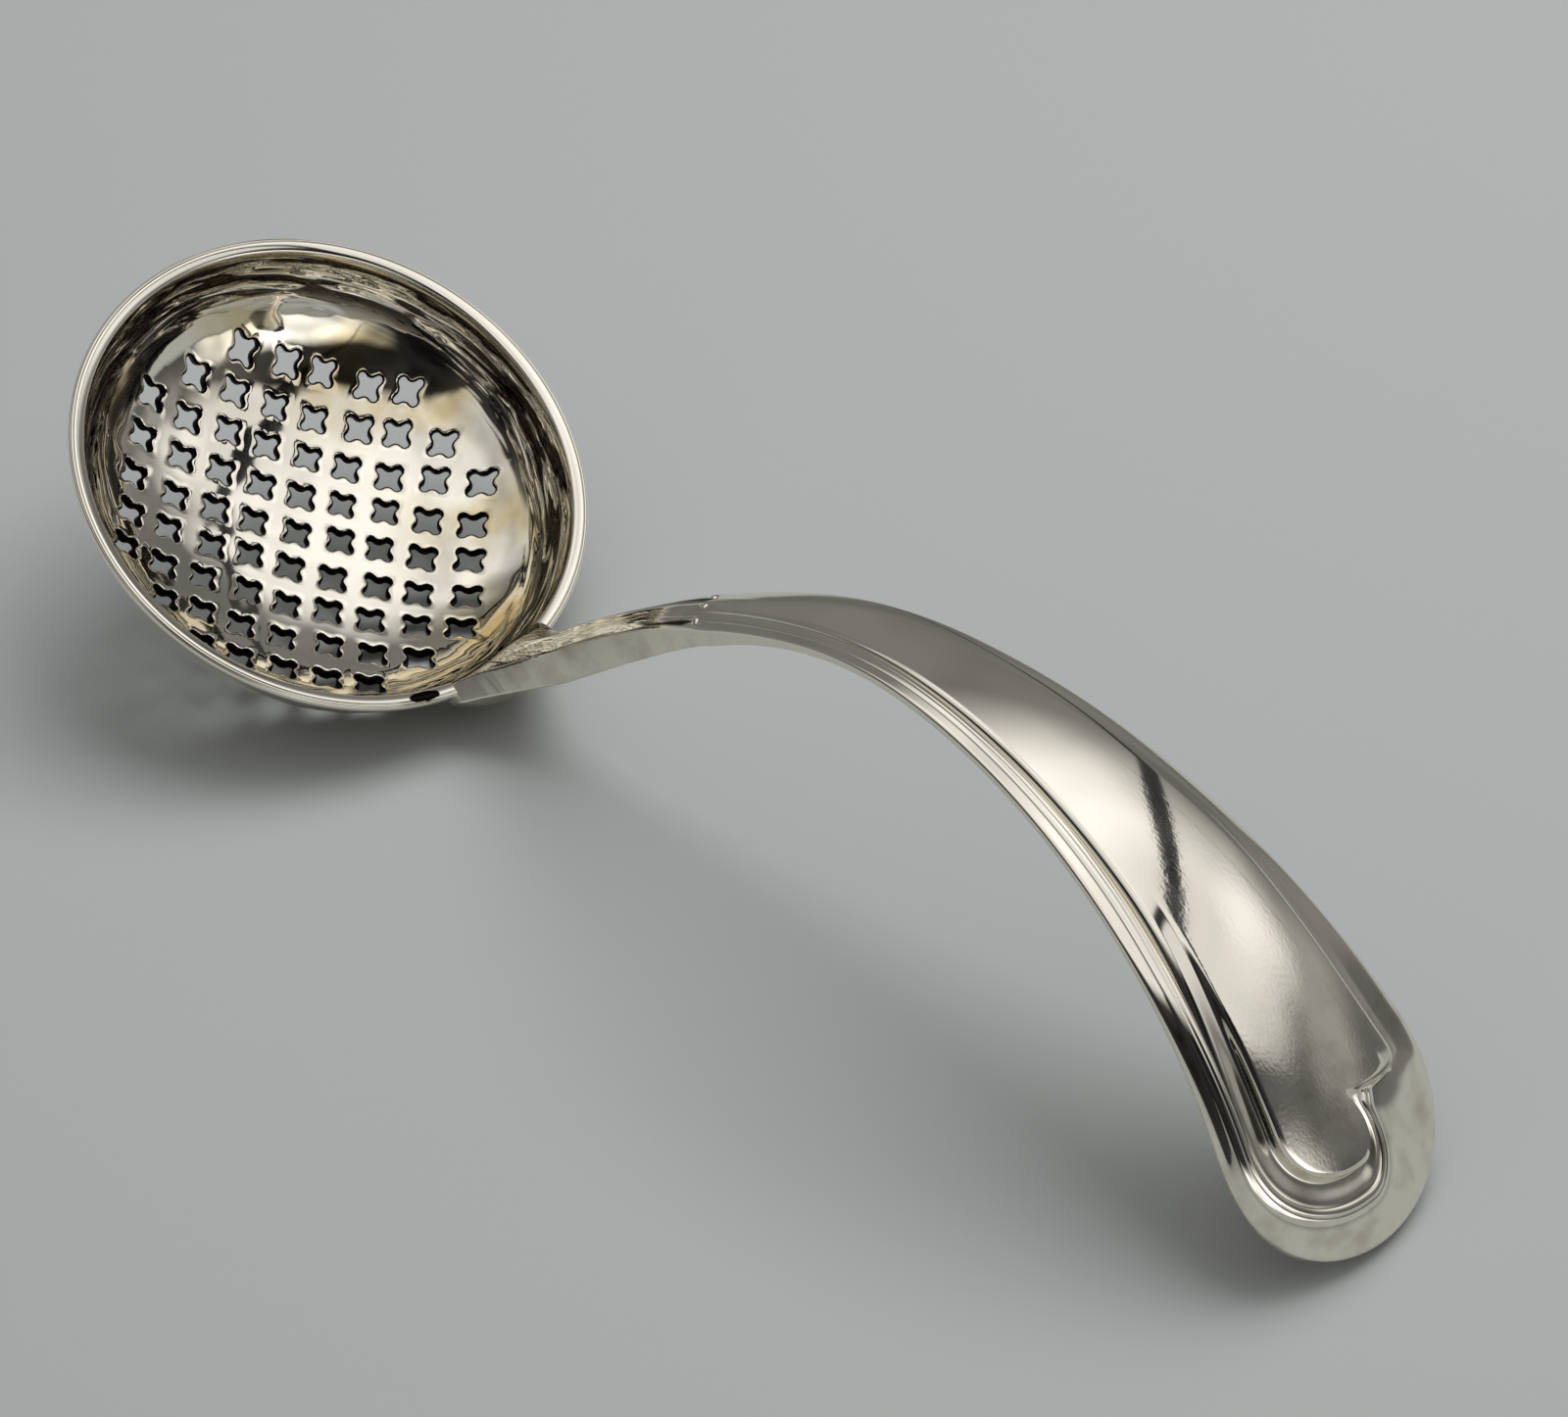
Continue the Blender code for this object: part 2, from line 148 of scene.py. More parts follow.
# Copies of that square, each with its hole a little out of place, joined into the pierced field. A ring
# halfway to the square's border evens out the drift.
chance = random.Random(FIELD_SEED)
reach = int(FIELD_RADIUS / HOLE_PITCH)
ring_size = steps_round + 1
squares = []
for i in range(-reach, reach + 1):
    for j in range(-reach, reach + 1):
        if Vector((i, j)).length * HOLE_PITCH > FIELD_RADIUS:
            continue
        copy = square.copy()
        copy.data = square.data.copy()
        bpy.context.collection.objects.link(copy)
        drift = Vector((chance.uniform(-1, 1), chance.uniform(-1, 1), 0.0)) * HOLE_DRIFT
        turn = Matrix.Rotation(math.radians(chance.uniform(-HOLE_TURN_DEGREES, HOLE_TURN_DEGREES)), 3, "Z")
        turn = turn * chance.uniform(*HOLE_SCALE)
        points = copy.data.vertices
        for point, ring in zip(points, ring_of):
            if ring < len(ROLL):
                point.co = turn @ point.co + drift
        for k, ring in enumerate(ring_of):
            if ring == len(ROLL):
                points[k].co = (points[k - ring_size].co + points[k + ring_size].co) / 2
        copy.location = (i * HOLE_PITCH, j * HOLE_PITCH, 0.0)
        squares.append(copy)
bpy.data.objects.remove(square)
bpy.ops.object.select_all(action="DESELECT")
for copy in squares:
    copy.select_set(True)
bowl = squares[0]
bpy.context.view_layer.objects.active = bowl
bpy.ops.object.join()
bpy.ops.object.transform_apply()
bowl.name = "sifter_bowl"
bpy.ops.object.mode_set(mode="EDIT")
bpy.ops.mesh.select_all(action="SELECT")
bpy.ops.mesh.remove_doubles(threshold=TOUCH)

# The rest of the disc is drawn out from the field's stepped edge, in rings that end at the lip
CORNER_RADIUS = 21.9 * MM
CORNER_RINGS = 4
WALL_RINGS = 17
SECTION_STEPS = 800
section_u = np.linspace(0.0, 1.0, SECTION_STEPS + 1)
lip = np.array((MOUTH_RADIUS, LIP_Z))
wall_run = np.array((math.sin(MOUTH_FLARE), math.cos(MOUTH_FLARE)))
section_line = ((0.0, -BOWL_DEPTH), (PAN_REACH, -BOWL_DEPTH), lip - wall_run * SIDE_REACH, lip)
section, section_run = bezier(section_line, section_u)
section_out = np.array((section_run[1], -section_run[0]))
section_length = np.append(0.0, np.cumsum(np.hypot(*np.diff(section))))
corner_length = np.interp(CORNER_RADIUS, section[0], section_length)
wall_lengths = np.linspace(corner_length, section_length[-1], WALL_RINGS + 1)[1:]
wall_radii = np.interp(wall_lengths, section_length, section[0])
rings = [(CORNER_RADIUS, 1.0 / (CORNER_RINGS - step)) for step in range(CORNER_RINGS)]
rings += [(radius, 1.0) for radius in wall_radii]
bpy.ops.mesh.select_all(action="DESELECT")
bpy.ops.mesh.select_mode(type="EDGE")
bpy.ops.mesh.select_non_manifold(use_wire=False, use_multi_face=False, use_non_contiguous=False,
                                 use_verts=False)
disc = bmesh.from_edit_mesh(bowl.data)
dish_layer = disc.verts.layers.float["dish"]
for edge in disc.edges:
    if edge.select and edge.verts[0][dish_layer] > 0.0:
        edge.select_set(False)
bmesh.update_edit_mesh(bowl.data)
for radius, pull in rings:
    bpy.ops.mesh.extrude_edges_move()
    disc = bmesh.from_edit_mesh(bowl.data)
    for vertex in disc.verts:
        if vertex.select:
            length = vertex.co.xy.length
            vertex.co *= (length + (radius - length) * pull) / length
    bmesh.update_edit_mesh(bowl.data)
bpy.ops.mesh.select_all(action="SELECT")
bpy.ops.mesh.normals_make_consistent(inside=False)
bpy.ops.object.mode_set(mode="OBJECT")
if bowl.data.polygons[0].normal.z < 0:
    bowl.data.flip_normals()
wall = bowl.modifiers.new("sheet", "SOLIDIFY")
wall.thickness = SHEET
wall.offset = -1.0
bpy.ops.object.modifier_apply(modifier=wall.name)
bowl.data.attributes.new("cut", "FLOAT", "FACE")
bowl.data.attributes.new("inside", "FLOAT", "POINT")
dish, cut, inside = (bowl.data.attributes[name].data for name in ("dish", "cut", "inside"))
# Faces that are made rough and take the tarnish and painted shade: the hole walls and their rolled edges
for is_cut, face in zip(cut, bowl.data.polygons):
    rolled = all(dish[corner].value > SAWN_DEPTH for corner in face.vertices)
    is_cut.value = 1.0 if rolled or abs(face.normal.z) < SAWN_SLOPE else 0.0

# Raising: the flat disc takes the bowl's section, with the slight unevenness that hammering leaves
RAISING_HEIGHT = 0.035 * MM
RAISING_WAVE = 7.0 * MM
BOWL_SMOOTH = math.radians(40.0)
for vertex, depth, is_inside in zip(bowl.data.vertices, dish, inside):
    flat = vertex.co.copy()
    radius = flat.xy.length
    at = np.interp(radius, section[0], section_u)
    out = Vector((np.interp(at, section_u, section_out[0]), np.interp(at, section_u, section_out[1])))
    point = Vector((radius, np.interp(at, section_u, section[1])))
    swell = RAISING_HEIGHT * noise.noise(Vector((flat.x, flat.y, 0.0)) / RAISING_WAVE)
    if flat.z > -SHEET / 2:
        point = point + out * (swell + depth.value)
        is_inside.value = 1.0
    else:
        point = point + out * (swell + SHEET)
    around = flat.xy / max(radius, 1e-9)
    vertex.co = (around.x * point.x, around.y * point.x, point.y)
bowl.data.transform(BOWL_PLACE @ Matrix.Rotation(FIELD_TURN, 4, "Z"))
bpy.ops.object.shade_smooth_by_angle(angle=BOWL_SMOOTH)

# Sterling silver, polished: a warm white metal. The hammered wall is uneven in long low waves, which
# draw the reflections out into streaks, and dark streak reflections are painted into its colour along them.
# The saw-cut walls of the holes and their rolled edges are black, with tarnish and with painted shade. A
# golden tint is mixed in on the far side of the pan.
STERLING = "#F2EDDF"
TARNISH_AND_SHADE = "#15110D"
WALL_WAVE = (7.0 * MM, 7.0 * MM, 0.85 * MM)
WALL_WAVE_HEIGHT = 0.23 * MM
DARK_REFLECTION = "#463F36"
WALL_REFLECTION_RANGE = (0.44, 0.52)
PAN_WAVE = 5.5 * MM
PAN_WAVE_HEIGHT = 0.2 * MM
PAN_EDGE = (21.2 * MM, 23.0 * MM)
GOLD_TINT = "#D6C59C"
GOLD_RANGE = (0.4, 0.6)
GOLD_RADIUS = (9.0 * MM, 17.0 * MM)
GOLD_SIDE = (-4.0 * MM, 10.0 * MM)
BLOOM_SIZE = 9.0 * MM
BLOOM_RANGE = (0.35, 0.7)
BOWL_ROUGHNESS = (0.03, 0.1)
SAWN_ROUGHNESS = 0.5
bowl_silver = bpy.data.materials.new("polished_sterling_bowl")
bowl_silver.use_nodes = True
tree = bowl_silver.node_tree
shader = tree.nodes["Principled BSDF"]
shader.inputs["Metallic"].default_value = 1.0
spot = add_node(tree, "TexCoord", {}, {}, "Object")
in_bowl = add_node(tree, "Mapping", {"vector_type": "TEXTURE", "Location": BOWL_PLACE.translation,
                                     "Rotation": (0.0, BOWL_TILT, 0.0)}, {"Vector": spot})
on_disc = add_node(tree, "VectorMath", {"operation": "MULTIPLY", 1: (1.0, 1.0, 0.0)}, {0: in_bowl})
from_middle = add_node(tree, "VectorMath", {"operation": "LENGTH"}, {0: on_disc}, "Value")
inner = add_node(tree, "Attribute", {"attribute_name": "inside"}, {}, "Fac")
past_pan = add_node(tree, "MapRange", {"interpolation_type": "SMOOTHSTEP", 1: PAN_EDGE[0], 2: PAN_EDGE[1]},
                    {0: from_middle})
on_wall = add_node(tree, "Math", {"operation": "MULTIPLY"}, {0: past_pan, 1: inner})
on_pan = add_node(tree, "Math", {"operation": "SUBTRACT", 0: 1.0}, {1: on_wall})
streak_at = add_node(tree, "VectorMath", {"operation": "DIVIDE", 1: WALL_WAVE}, {0: in_bowl})
streaks = add_node(tree, "TexNoise", {"Scale": 1.0, "Detail": 0.6, "Roughness": 0.5, "Distortion": 0.8},
                   {"Vector": streak_at})
streak = add_node(tree, "Math", {"operation": "MULTIPLY"}, {0: streaks, 1: on_wall})
swells = add_node(tree, "TexNoise", {"Scale": 1.0 / PAN_WAVE, "Detail": 1.0}, {"Vector": in_bowl})
pan_swell = add_node(tree, "Math", {"operation": "MULTIPLY"}, {0: swells, 1: on_pan})
wall_bump = add_node(tree, "Bump", {"Distance": WALL_WAVE_HEIGHT}, {"Height": streak})
pan_bump = add_node(tree, "Bump", {"Distance": PAN_WAVE_HEIGHT}, {"Height": pan_swell, "Normal": wall_bump})
tree.links.new(pan_bump, shader.inputs["Normal"])
bloom = add_node(tree, "TexNoise", {"Scale": 1.0 / BLOOM_SIZE, "Detail": 4.0}, {"Vector": in_bowl})
cloud = add_node(tree, "MapRange", {1: BLOOM_RANGE[0], 2: BLOOM_RANGE[1], 3: BOWL_ROUGHNESS[0],
                                    4: BOWL_ROUGHNESS[1]}, {0: bloom})
sawn = add_node(tree, "Attribute", {"attribute_name": "cut"}, {}, "Fac")
finish = add_node(tree, "Mix", {"data_type": "FLOAT", "B": SAWN_ROUGHNESS}, {"Factor": sawn, "A": cloud})
tree.links.new(finish, shader.inputs["Roughness"])
# Painted reflection: dark streaks mixed into the wall's colour where the wave noise runs high
lines = add_node(tree, "MapRange", {1: WALL_REFLECTION_RANGE[0], 2: WALL_REFLECTION_RANGE[1]}, {0: streaks})
painted_reflection = add_node(tree, "Math", {"operation": "MULTIPLY"}, {0: lines, 1: on_wall})
tone = add_node(tree, "Mix", {"data_type": "RGBA", 6: linear(STERLING), 7: linear(DARK_REFLECTION)},
                {"Factor": painted_reflection}, 2)
# A golden tint in a ring on the pan's far side, patchy with the bloom noise
far_off = add_node(tree, "SeparateXYZ", {}, {"Vector": in_bowl}, "Y")
far_side = add_node(tree, "MapRange", {1: GOLD_SIDE[0], 2: GOLD_SIDE[1]}, {0: far_off})
tint_ring = add_node(tree, "MapRange", {1: GOLD_RADIUS[0], 2: GOLD_RADIUS[1]}, {0: from_middle})
gold = add_node(tree, "MapRange", {1: GOLD_RANGE[0], 2: GOLD_RANGE[1]}, {0: bloom})
for limit in (tint_ring, on_pan, inner, far_side):
    gold = add_node(tree, "Math", {"operation": "MULTIPLY"}, {0: gold, 1: limit})
tone = add_node(tree, "Mix", {"data_type": "RGBA", 7: linear(GOLD_TINT)}, {"Factor": gold, 6: tone}, 2)
# Tarnish and painted shade: the hole walls and rolled edges are coloured near black
tone = add_node(tree, "Mix", {"data_type": "RGBA", 7: linear(TARNISH_AND_SHADE)}, {"Factor": sawn, 6: tone}, 2)
tree.links.new(tone, shader.inputs["Base Color"])
bowl.data.materials.clear()
bowl.data.materials.append(bowl_silver)
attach(bowl, "root")
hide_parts("pierced_bowl")

# Rim wire. A drawn sterling wire, flat underneath, with a broad inner band and two fine reeds on its
# outer shoulder. It is bent round the lip and soldered down, and stops at both sides of the handle.
WIRE_OPENING = math.radians(14.0)
WIRE_STEPS = 240
WIRE_SMOOTH = math.radians(50.0)
# Section in mm: how far out from the mouth, and how high against the rim
WIRE_SECTION = (
    (0.00, -1.30), (0.00, -0.46), (0.03, -0.36), (0.10, -0.28), (0.22, -0.21), (0.40, -0.14), (0.60, -0.08),
    (0.80, -0.04), (0.96, -0.03), (1.02, -0.05), (1.06, -0.09), (1.10, -0.05), (1.17, -0.03), (1.25, -0.05),
    (1.31, -0.11), (1.34, -0.17), (1.38, -0.16), (1.43, -0.20), (1.47, -0.30), (1.49, -0.42), (1.50, -0.56),
    (1.48, -0.78), (1.42, -0.98), (1.30, -1.15), (1.12, -1.30),
)
WIRE_LINES = ((1.06, -0.09), (1.34, -0.17))
WIRE_LINE_HALF = 0.02
bpy.ops.mesh.primitive_circle_add(vertices=len(WIRE_SECTION), radius=MM, fill_type="NOTHING")
wire = bpy.context.object
wire.name = "reeded_rim_wire"
at_opening = Matrix.Rotation(WIRE_OPENING, 4, "Z")
for vertex, (across, up) in zip(wire.data.vertices, WIRE_SECTION):
    vertex.co = at_opening @ Vector((MOUTH_RADIUS + across * MM, 0.0, up * MM))
bpy.ops.object.mode_set(mode="EDIT")
bpy.ops.mesh.select_all(action="SELECT")
bpy.ops.mesh.spin(steps=WIRE_STEPS, angle=-2 * (math.pi - WIRE_OPENING), center=(0, 0, 0), axis=(0, 0, 1))
bpy.ops.mesh.select_all(action="DESELECT")
bpy.ops.mesh.select_non_manifold()
bpy.ops.mesh.edge_face_add()
bpy.ops.mesh.select_all(action="SELECT")
bpy.ops.mesh.normals_make_consistent(inside=False)
bpy.ops.object.mode_set(mode="OBJECT")

# Where the wire is darkened: in one patch at the wire's near end, and with tarnish in the lines between its
# reeds
DARK_PATCH_AT = (3.4 * MM, 0.75 * MM)
DARK_PATCH_HALF = (2.2 * MM, 0.8 * MM)
wire.data.attributes.new("seam", "FLOAT", "POINT")
wire.data.attributes.new("line", "FLOAT", "POINT")
seam, reed_line = (wire.data.attributes[name].data for name in ("seam", "line"))
for vertex, at_seam, in_line in zip(wire.data.vertices, seam, reed_line):
    turn = abs(math.atan2(vertex.co.y, vertex.co.x)) - WIRE_OPENING
    across = vertex.co.xy.length - MOUTH_RADIUS
    off = Vector(((turn * RIM_RADIUS - DARK_PATCH_AT[0]) / DARK_PATCH_HALF[0], (across - DARK_PATCH_AT[1]) / DARK_PATCH_HALF[1]))
    at_seam.value = max(1.0 - off.length, 0.0) if vertex.co.y < 0.0 else 0.0
    place = Vector((across, vertex.co.z)) / MM
    in_line.value = float(any((place - Vector(mark)).length < WIRE_LINE_HALF for mark in WIRE_LINES))
wire.data.transform(BOWL_PLACE)
bpy.ops.object.shade_smooth_by_angle(angle=WIRE_SMOOTH)

# Drawn sterling wire: bright along its broad band, with a little tarnish left in the lines of the reeds
WIRE_BLOOM = 6.0 * MM
WIRE_ROUGHNESS = (0.07, 0.17)
DARK_PATCH_GRAIN = 1.1 * MM
DARK_PATCH_RANGE = (0.13, 0.17)
LINE_TARNISH = 0.6
wire_silver = bpy.data.materials.new("polished_sterling_wire")
wire_silver.use_nodes = True
tree = wire_silver.node_tree
shader = tree.nodes["Principled BSDF"]
shader.inputs["Metallic"].default_value = 1.0
spot = add_node(tree, "TexCoord", {}, {}, "Object")
bloom = add_node(tree, "TexNoise", {"Scale": 1.0 / WIRE_BLOOM, "Detail": 4.0}, {"Vector": spot})
cloud = add_node(tree, "MapRange", {1: BLOOM_RANGE[0], 2: BLOOM_RANGE[1], 3: WIRE_ROUGHNESS[0],
                                    4: WIRE_ROUGHNESS[1]}, {0: bloom})
tree.links.new(cloud, shader.inputs["Roughness"])
# A dark patch at the wire's near end, broken up by noise
near_end = add_node(tree, "Attribute", {"attribute_name": "seam"}, {}, "Fac")
patches = add_node(tree, "TexNoise", {"Scale": 1.0 / DARK_PATCH_GRAIN, "Detail": 2.0}, {"Vector": spot})
patch = add_node(tree, "Math", {"operation": "MULTIPLY"}, {0: near_end, 1: patches})
dark_patch = add_node(tree, "MapRange", {1: DARK_PATCH_RANGE[0], 2: DARK_PATCH_RANGE[1]}, {0: patch})
reeds = add_node(tree, "Attribute", {"attribute_name": "line"}, {}, "Fac")
dark = add_node(tree, "Math", {"operation": "MULTIPLY_ADD", 1: LINE_TARNISH}, {0: reeds, 2: dark_patch})
tone = add_node(tree, "Mix", {"data_type": "RGBA", 6: linear(STERLING), 7: linear(TARNISH_AND_SHADE)},
                {"Factor": dark}, 2)
tree.links.new(tone, shader.inputs["Base Color"])
wire.data.materials.append(wire_silver)
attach(wire, "root")
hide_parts("rim_wire")

# Handle. Stem and terminal are one forging: the stem is left deep and narrow, with three beaded ridges,
# the end is struck in dies with a plain edge, two reeds that end in a curl and a crowned cushion, and
# the whole is bent to an arch. Lengths along it are measured from the bowl's lip.
CLEARANCE = 0.3 * MM
ARCH_TOP = np.array((74.5, 36.3)) * MM
TIP = np.array((127.2, 1.95)) * MM
TIP_FALL = math.radians(63.0)
ROOT_PULL = 26.0 * MM
RISE_PULL = 17.0 * MM
DESCENT_PULL = 23.0 * MM
TIP_PULL = 21.5 * MM
CREST_STEPS = 600
LAP_LENGTH = 4.0 * MM
LAP_SPARE = 1.05
LAP_ROUND = 0.8
SHOULDER_FROM = 1.35 * MM
SHOULDER_RUN = 13.0 * MM
SHOULDER_HALF = 6.44 * MM
NECK_HALF = 1.8 * MM
NECK_AT = 18.0 * MM
END_HALF = 12.3 * MM
END_ROUND = 15.5 * MM
TAPER_POWER = 1.6
CROWN_RADIUS = 43.0 * MM
# The border: its plain band, reeds and rounded or hollow foot
BAND_WIDTH = 1.25 * MM
BAND_RISE = 0.12
TIP_BAND = 4.2 * MM
REEDS = 2
REED_WIDTH = 0.8 * MM
REED_HEIGHT = 0.26 * MM
REED_LINE = 0.2
REED_LINE_HALF = 0.2
REED_START = (34.4 * MM, 37.2 * MM)
REED_END = (math.radians(20.0), math.radians(26.0))
REEDED = BAND_WIDTH + REEDS * REED_WIDTH
KNOP = 0.8
KNOP_AT = math.radians(27.0)
KNOP_HALF = math.radians(7.0)
CURL = 5.2 * MM
CURL_TURN = (math.radians(12.0), math.radians(32.0))
CURL_FADE = (math.radians(42.0), math.radians(92.0))
EDGE_ROUND = 0.36 * MM
FLANK = 2.6 * MM
FAR_ROUND = 0.8 * MM
NEAR_RISE = 0.5
HOLLOW = 2.05 * MM
HOLLOW_DROP = 0.25
HOLLOW_SPAN = (92.0 * MM, 110.0 * MM)
SOFT_TO = 84.0 * MM
CUSHION_SHIFT = 1.2 * MM
CUSHION_SQUEEZE = 0.6 * MM
SHIFT_FROM = 88.0 * MM
BORDER_DROP = 1.5 * MM
BORDER_POWER = 1.3
BORDER_NECK_SHARE = 0.5
FACE_SHARE = 0.96
# The stem's depth, and the forms on its face
NECK_DEPTH = 3.3 * MM
EDGE_DEPTH = 0.8 * MM
NECK_RUN = 27.0 * MM
BODY_DEPTH = 2.4 * MM
LAP_DEPTH = 0.8 * MM
SHOULDER_THINNING = 0.75
ROOT_RISE = 1.3 * MM
ROOT_RISE_SPANS = ((0.0, 5.0 * MM), (6.0 * MM, 50.0 * MM))
STEM_CROWN = 1.0 * MM
STEM_CROWN_SPANS = ((0.0, 6.0 * MM), (16.0 * MM, 56.0 * MM))
STEM_TILT = 0.5 * MM
STEM_TILT_SPANS = ((24.0 * MM, 36.0 * MM), (44.0 * MM, 68.0 * MM))
RIDGES = (-0.72, -0.05, 0.55)
RIDGE_HALF = 0.2
RIDGE_HEIGHT = 0.1 * MM
RIDGE_START = (8.0 * MM, 20.0 * MM)
RIDGE_END = 34.8 * MM
BEAD_RADIUS = 0.36 * MM
BEAD_HEIGHT = 0.2 * MM


def place_in_plane(point):
    """A (radius, height) of the bowl's section at the handle, in the spoon's own upright plane."""
    radius, height = point
    sine, cosine = math.sin(BOWL_TILT), math.cos(BOWL_TILT)
    return np.array((radius * cosine + height * sine, RIM_Z - radius * sine + height * cosine))


# The line of the crest: up the outside of the bowl's wall, over the arch and down to the tip
rise_angle = math.pi / 2 - BOWL_TILT - MOUTH_FLARE
root = place_in_plane(lip + section_out[:, -1] * (SHEET + CLEARANCE))
level = np.array((1.0, 0.0))
upward = np.array((math.cos(rise_angle), math.sin(rise_angle)))
downward = np.array((math.cos(TIP_FALL), -math.sin(TIP_FALL)))
rising_line = (root, root + upward * ROOT_PULL, ARCH_TOP - level * RISE_PULL, ARCH_TOP)
falling_line = (ARCH_TOP, ARCH_TOP + level * DESCENT_PULL, TIP - downward * TIP_PULL, TIP)
crest_u = np.linspace(0.0, 1.0, CREST_STEPS)
lapped = section_length > section_length[-1] - LAP_LENGTH * LAP_SPARE
lap = place_in_plane(section[:, lapped] + section_out[:, lapped] * (SHEET + CLEARANCE))
crest = np.hstack((lap[:, :-1], bezier(rising_line, crest_u)[0], bezier(falling_line, crest_u)[0][:, 1:]))
crest_along = np.append(0.0, np.cumsum(np.hypot(*np.diff(crest)))) - np.hypot(*np.diff(lap)).sum()
crest_run = np.gradient(crest, axis=1) / np.gradient(crest_along)
crest_run = crest_run / np.linalg.norm(crest_run, axis=0)
LENGTH = crest_along[-1]
END_AT = LENGTH - END_ROUND


def ramp(value, start, stop):
    """Ease from 0 to 1 as the value goes from start to stop."""
    u = min(max((value - start) / (stop - start), 0.0), 1.0)
    return u * u * (3.0 - 2.0 * u)


def window(s, spans):
    """Ease up from 0 to 1 along the first span of the handle, and down again along the second."""
    return ramp(s, *spans[0]) * (1.0 - ramp(s, *spans[1]))


def half_width(s):
    """Half width of the blank at this distance from the lip, without the rounding of its end."""
    if s < SHOULDER_FROM + SHOULDER_RUN:
        away = 1.0 - max(s - SHOULDER_FROM, 0.0) / SHOULDER_RUN
        return NECK_HALF + (SHOULDER_HALF - NECK_HALF) * away ** 2
    share = max(s - NECK_AT, 0.0) / (END_AT - NECK_AT)
    return NECK_HALF + (END_HALF - NECK_HALF) * share ** TAPER_POWER


def hug(s):
    """How far the handle follows the bowl's round wall."""
    return 1.0 - ramp(s, 0.0, SHOULDER_RUN)


def border_share(s):
    """How full the border is: it shrinks towards the neck and again on the lap."""
    full = BORDER_NECK_SHARE + (1.0 - BORDER_NECK_SHARE) * min(half_width(s) / END_HALF, 1.0)
    return full * (1.0 - hug(s) / 2)


def side_depth(s):
    """Depth of the side wall: deepest at the neck, thin round the end and on the lap."""
    neck = EDGE_DEPTH + (NECK_DEPTH - EDGE_DEPTH) * math.exp(-((s - NECK_AT) / NECK_RUN) ** 2)
    return neck + (LAP_DEPTH - neck) * min(max(-s / LAP_LENGTH, 0.0), 1.0)


def struck(inset, hollowed, soft):
    """Shares of the border's drop and of a reed's height at this full-size distance from the edge."""
    rounded = max(1.0 - inset / (REEDED + FAR_ROUND), 0.0) ** 2
    rise = BAND_RISE + (NEAR_RISE - BAND_RISE) * hollowed
    reed = 0.0
    if inset <= BAND_WIDTH:
        drop = 1.0 - rise * inset / BAND_WIDTH
    elif inset < REEDED:
        across = (inset - BAND_WIDTH) / REED_WIDTH - 1.0
        reed = math.sqrt(1.0 - across ** 2) - REED_LINE * max(1.0 - abs(across) / REED_LINE_HALF, 0.0)
        drop = 1.0 - rise
    else:
        over = inset - REEDED
        up = min(over / FAR_ROUND, 1.0)
        drop = (1.0 - rise) * (1.0 - math.sqrt(1.0 - (1.0 - up) ** 2))
        dip = 1.0 - rise + HOLLOW_DROP * ramp(over, 0.0, HOLLOW)
        dished = dip * (1.0 - ramp(over, HOLLOW, FLANK))
        drop += (dished - drop) * hollowed
    return drop + (rounded - drop) * soft, reed


def ridge_height(s, t, half):
    """Three fine ridges lie along the stem, and each ends in a small bead."""
    height = 0.0
    for place in RIDGES:
        if s < RIDGE_END:
            over = max(1.0 - ((t / half - place) / RIDGE_HALF) ** 2, 0.0)
            height = max(height, RIDGE_HEIGHT * over * ramp(s, *RIDGE_START))
        away = math.hypot(s - RIDGE_END, t - place * half) / BEAD_RADIUS
        if away < 1.0:
            height = max(height, BEAD_HEIGHT * math.sqrt(1.0 - away ** 2))
    return height


def reed_share(angle, hand):
    """How high the reeds stand: they run along the near edge and round the tip, and end in a curl."""
    if angle is None:
        return 0.5 - hand / 2
    return ramp(angle, *REED_END)


def curl_inset(angle):
    """How far the border turns in from the edge towards the curl."""
    return CURL * window(angle, (CURL_TURN, CURL_FADE))


def bend(s, t, height):
    """Lay a point of the flat blank on the arch, and wrap the root round the bowl."""
    on_line = min(s, LENGTH)
    run = Vector([np.interp(on_line, crest_along, part) for part in crest_run])
    point = Vector([np.interp(on_line, crest_along, part) for part in crest])
    point = point + Vector((-run.y, run.x)) * height + run * (s - on_line)
    straight = Vector((point.x, t, point.y))
    wrapped = hug(s)
    if wrapped == 0.0:
        return straight
    sine, cosine = math.sin(BOWL_TILT), math.cos(BOWL_TILT)
    low = point.y - RIM_Z
    radius, depth = point.x * cosine - low * sine, point.x * sine + low * cosine
    angle = t / RIM_RADIUS
    around = place_in_plane((radius * math.cos(angle), depth))
    return straight.lerp(Vector((around[0], radius * math.sin(angle), around[1])), wrapped)


# Lines that follow the outline, from the middle of the face over the edge to the middle of the back:
# (full-size distance from the edge, share of the way to the middle)
EDGE_LINES = 6
BAND_LINES = 5
LINES_PER_REED = 10
FLANK_LINES = 36
CUSHION_LINES = 16
BACK_LINES = 12
border_foot = REEDED + FLANK
edge_insets = [EDGE_ROUND * (1.0 - math.cos(math.pi / 2 * k / EDGE_LINES)) for k in range(EDGE_LINES + 1)]
border_insets = list(edge_insets)
border_insets += [EDGE_ROUND + (BAND_WIDTH - EDGE_ROUND) * k / BAND_LINES for k in range(1, BAND_LINES + 1)]
for reed in range(REEDS):
    for k in range(1, LINES_PER_REED + 1):
        over_reed = 0.5 - 0.5 * math.cos(math.pi * k / LINES_PER_REED)
        border_insets.append(BAND_WIDTH + REED_WIDTH * (reed + over_reed))
border_insets += [border_foot - FLANK * (1.0 - k / FLANK_LINES) for k in range(1, FLANK_LINES + 1)]
face_lines = [(border_foot, k / CUSHION_LINES) for k in range(CUSHION_LINES, 0, -1)]
face_lines += [(inset, 0.0) for inset in reversed(border_insets)]
back_lines = [(inset, 0.0) for inset in edge_insets]
back_lines += [(EDGE_ROUND, k / BACK_LINES) for k in range(1, BACK_LINES + 1)]
all_lines = face_lines + back_lines

